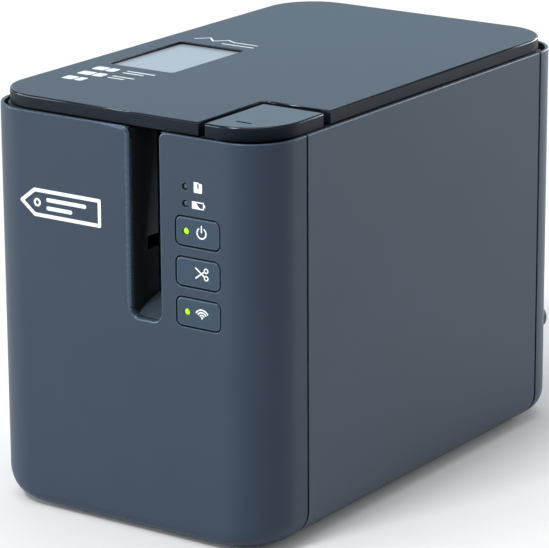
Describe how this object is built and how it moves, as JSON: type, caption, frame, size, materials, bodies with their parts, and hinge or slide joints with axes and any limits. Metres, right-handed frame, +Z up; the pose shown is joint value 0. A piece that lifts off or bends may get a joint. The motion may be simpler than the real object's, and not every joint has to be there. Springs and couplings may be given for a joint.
{
  "type": "desktop label maker",
  "caption": "Desktop label maker: tall rounded casing, hinged lid with window, release button, tape exit slot, panel keys, and the print, feed and cutter mechanism inside.",
  "frame": {"origin": "on the surface it stands on, under the middle of its bounding box", "axes": "+Z up, the tape slot and keys face -Y, +X is the right side seen from the front"},
  "size_m": [0.118, 0.1946, 0.146],
  "materials": {
    "casing": "blue grey, fine moulded grain",
    "lid": "charcoal, fine moulded grain",
    "button": "charcoal, satin",
    "inner_black": "black moulding",
    "window": "pale frosted pane",
    "lamp_lime": "lime light pipe",
    "lamp_dark": "unlit light pipe",
    "rubber": "black rubber",
    "steel": "plated sheet and pins",
    "aluminium": "heat sink",
    "gear_plastic": "natural acetal",
    "circuit_board": "green laminate",
    "tin_shell": "tinned steel can",
    "socket_black": "black moulding",
    "head_ceramic": "glazed head substrate"
  },
  "bodies": {
    "casing": {"front_cover": "casing", "rear_cover": "casing", "left_side_cover": "casing", "right_side_cover": "casing", "base_plate": "inner_black", "deck": "inner_black", "cassette_bay": "inner_black", "exit_chute": "inner_black", "foot_1": "rubber", "foot_2": "rubber", "foot_3": "rubber", "foot_4": "rubber", "rear_bumper_left": "rubber", "rear_bumper_right": "rubber", "hinge_pin_left": "steel", "hinge_pin_right": "steel", "latch_pin": "steel", "latch_bracket": "steel", "fixed_blade": "steel", "cutter_frame": "steel", "gear_plate": "steel", "holder_post": "steel", "power_lamp": "lamp_lime", "wireless_lamp": "lamp_lime", "tape_lamp": "lamp_dark", "battery_lamp": "lamp_dark", "power_switch": "socket_black", "feed_cut_switch": "socket_black", "wireless_switch": "socket_black", "power_jack": "socket_black", "panel_board": "circuit_board", "main_board": "circuit_board", "cutter_motor": "tin_shell", "drive_motor": "tin_shell", "usb_device_socket": "tin_shell", "usb_host_socket": "tin_shell", "network_socket": "tin_shell", "head_heat_sink": "aluminium", "print_head": "head_ceramic", "release_spring": "steel"},
    "lid": {"lid_shell": "lid", "lid_window": "window", "lid_hook": "steel"},
    "release_button": {"release_button": "button"},
    "latch": {"latch_lever": "gear_plastic"},
    "power_key": {"power_key": "casing"},
    "feed_cut_key": {"feed_cut_key": "casing"},
    "wireless_key": {"wireless_key": "casing"},
    "reduction": {"reduction_gear": "gear_plastic"},
    "motor_drive": {"motor_pinion": "gear_plastic"},
    "platen": {"platen_shaft": "steel", "platen_gear": "gear_plastic", "platen_roller": "rubber"},
    "ribbon_drive": {"ribbon_spindle": "gear_plastic", "ribbon_gear": "gear_plastic"},
    "platen_arm": {"roller_holder": "steel"},
    "blade": {"moving_blade": "steel"},
    "blade_pinion": {"cutter_pinion": "gear_plastic"}
  },
  "joints": [
    {"name": "lid_hinge", "type": "hinge", "parent": "casing", "child": "lid", "pos_m": [0, 0.0847, 0.141], "axis": [-1, 0, 0], "range_deg": [0, 75]},
    {"name": "button_press", "type": "slide", "parent": "casing", "child": "release_button", "axis": [0, 0, -1], "range_m": [0, 0.002], "stiffness_N_per_m": 900, "springref_m": -0.002, "deforming": ["release_spring"]},
    {"name": "latch_turn", "type": "hinge", "parent": "casing", "child": "latch", "pos_m": [0.036, -0.0737, 0.1274], "axis": [0, 1, 0], "range_deg": [0, 12]},
    {"name": "power_press", "type": "slide", "parent": "casing", "child": "power_key", "axis": [0, 1, 0], "range_m": [0, 0.0006], "stiffness_N_per_m": 600, "springref_m": -0.001},
    {"name": "feed_cut_press", "type": "slide", "parent": "casing", "child": "feed_cut_key", "axis": [0, 1, 0], "range_m": [0, 0.0006], "stiffness_N_per_m": 600, "springref_m": -0.001},
    {"name": "wireless_press", "type": "slide", "parent": "casing", "child": "wireless_key", "axis": [0, 1, 0], "range_m": [0, 0.0006], "stiffness_N_per_m": 600, "springref_m": -0.001},
    {"name": "reduction_spin", "type": "hinge", "parent": "casing", "child": "reduction", "pos_m": [-0.0138, -0.0516, 0.083], "axis": [0, 0, 1], "continuous": true},
    {"name": "motor_spin", "type": "hinge", "parent": "casing", "child": "motor_drive", "pos_m": [-0.03828, -0.04269, 0.083], "axis": [0, 0, 1], "continuous": true},
    {"name": "arm_swing", "type": "hinge", "parent": "casing", "child": "platen_arm", "pos_m": [0.023, -0.0193, 0.114], "axis": [0, 0, 1], "range_deg": [0, 6]},
    {"name": "platen_spin", "type": "hinge", "parent": "platen_arm", "child": "platen", "pos_m": [0.01523, -0.05938, 0.083], "axis": [0, 0, 1], "continuous": true},
    {"name": "ribbon_spin", "type": "hinge", "parent": "casing", "child": "ribbon_drive", "pos_m": [-0.00179, -0.02188, 0.083], "axis": [0, 0, 1], "continuous": true},
    {"name": "blade_swing", "type": "hinge", "parent": "casing", "child": "blade", "pos_m": [0.013, -0.0784, 0.084], "axis": [0, -1, 0], "range_deg": [0, 22]},
    {"name": "blade_pinion_spin", "type": "hinge", "parent": "casing", "child": "blade_pinion", "pos_m": [0.013, -0.0784, 0.0629], "axis": [0, 1, 0], "range_deg": [0, 56]}
  ],
  "couplings": [
    {"joint": "latch_turn", "follows": "button_press", "rad_per_m": 100},
    {"joint": "motor_spin", "follows": "reduction_spin", "ratio": -3.3333},
    {"joint": "platen_spin", "follows": "reduction_spin", "ratio": -2},
    {"joint": "ribbon_spin", "follows": "reduction_spin", "ratio": -1.6667},
    {"joint": "arm_swing", "follows": "lid_hinge", "ratio": 0.07},
    {"joint": "blade_pinion_spin", "follows": "blade_swing", "ratio": 2.5}
  ]
}
